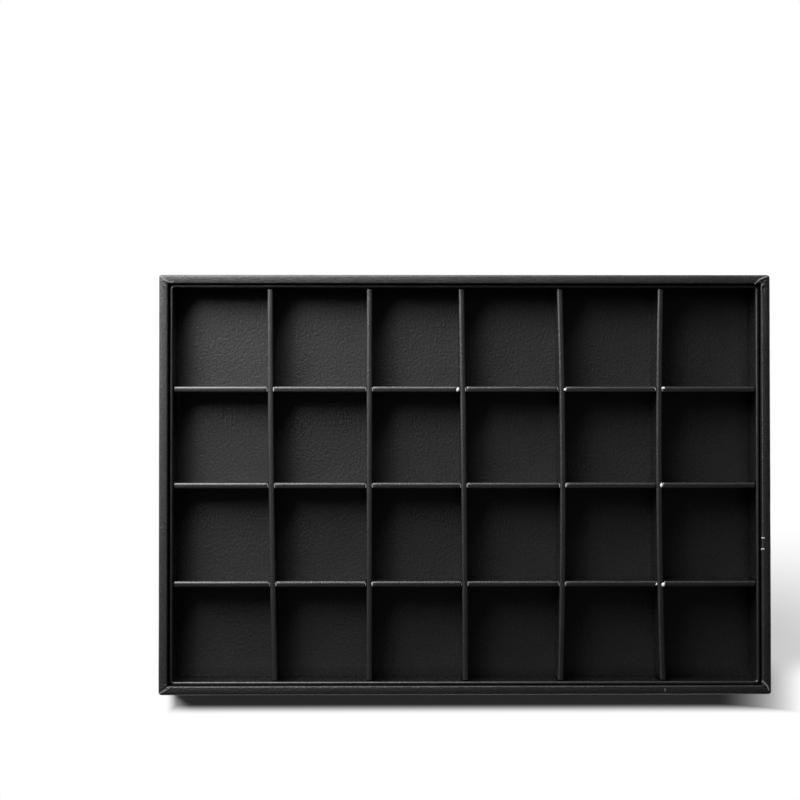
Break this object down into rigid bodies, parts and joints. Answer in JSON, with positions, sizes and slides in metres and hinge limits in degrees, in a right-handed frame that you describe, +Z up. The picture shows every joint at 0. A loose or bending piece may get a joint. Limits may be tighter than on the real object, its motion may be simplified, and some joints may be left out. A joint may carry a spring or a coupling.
{
  "type": "jewelry display tray",
  "caption": "Low rectangular leatherette-covered tray with a lift-out insert and an egg-crate grid of dividers forming open square compartments for small jewelry.",
  "frame": {"origin": "centre of the underside, on the surface that the tray stands on", "axes": "+X along the long side, +Y along the short side towards the back, +Z up out of the open top"},
  "size_m": [0.35, 0.24, 0.03],
  "materials": {
    "board": "raw medium density fibreboard",
    "card": "grey board, raw cut edges",
    "wrap_leatherette": "black leatherette, fine grain, soft satin",
    "insert_leatherette": "thin black leatherette, smooth, soft satin",
    "floor_leatherette": "black leatherette, fine matte grain",
    "black_paper": "matte black paper",
    "lining_cloth": "black flocked cloth"
  },
  "bodies": {
    "outer_tray": {"base_board": "board", "front_wall_board": "board", "back_wall_board": "board", "left_wall_board": "board", "right_wall_board": "board", "wall_wrap": "wrap_leatherette", "base_paper": "black_paper", "underside_lining": "lining_cloth"},
    "insert": {"floor_card": "card", "floor_skin": "floor_leatherette", "front_liner_card": "card", "back_liner_card": "card", "left_liner_card": "card", "right_liner_card": "card", "liner_skin": "insert_leatherette"},
    "divider_grid": {"long_divider_1_card": "card", "long_divider_1_skin": "insert_leatherette", "long_divider_2_card": "card", "long_divider_2_skin": "insert_leatherette", "long_divider_3_card": "card", "long_divider_3_skin": "insert_leatherette", "cross_divider_1_card": "card", "cross_divider_1_skin": "insert_leatherette", "cross_divider_2_card": "card", "cross_divider_2_skin": "insert_leatherette", "cross_divider_3_card": "card", "cross_divider_3_skin": "insert_leatherette", "cross_divider_4_card": "card", "cross_divider_4_skin": "insert_leatherette", "cross_divider_5_card": "card", "cross_divider_5_skin": "insert_leatherette"}
  },
  "joints": [
    {"name": "insert_lift", "type": "slide", "parent": "outer_tray", "child": "insert", "axis": [0, 0, 1], "range_m": [0, 0.04]},
    {"name": "grid_lift", "type": "slide", "parent": "insert", "child": "divider_grid", "axis": [0, 0, 1], "range_m": [0, 0.035]}
  ]
}
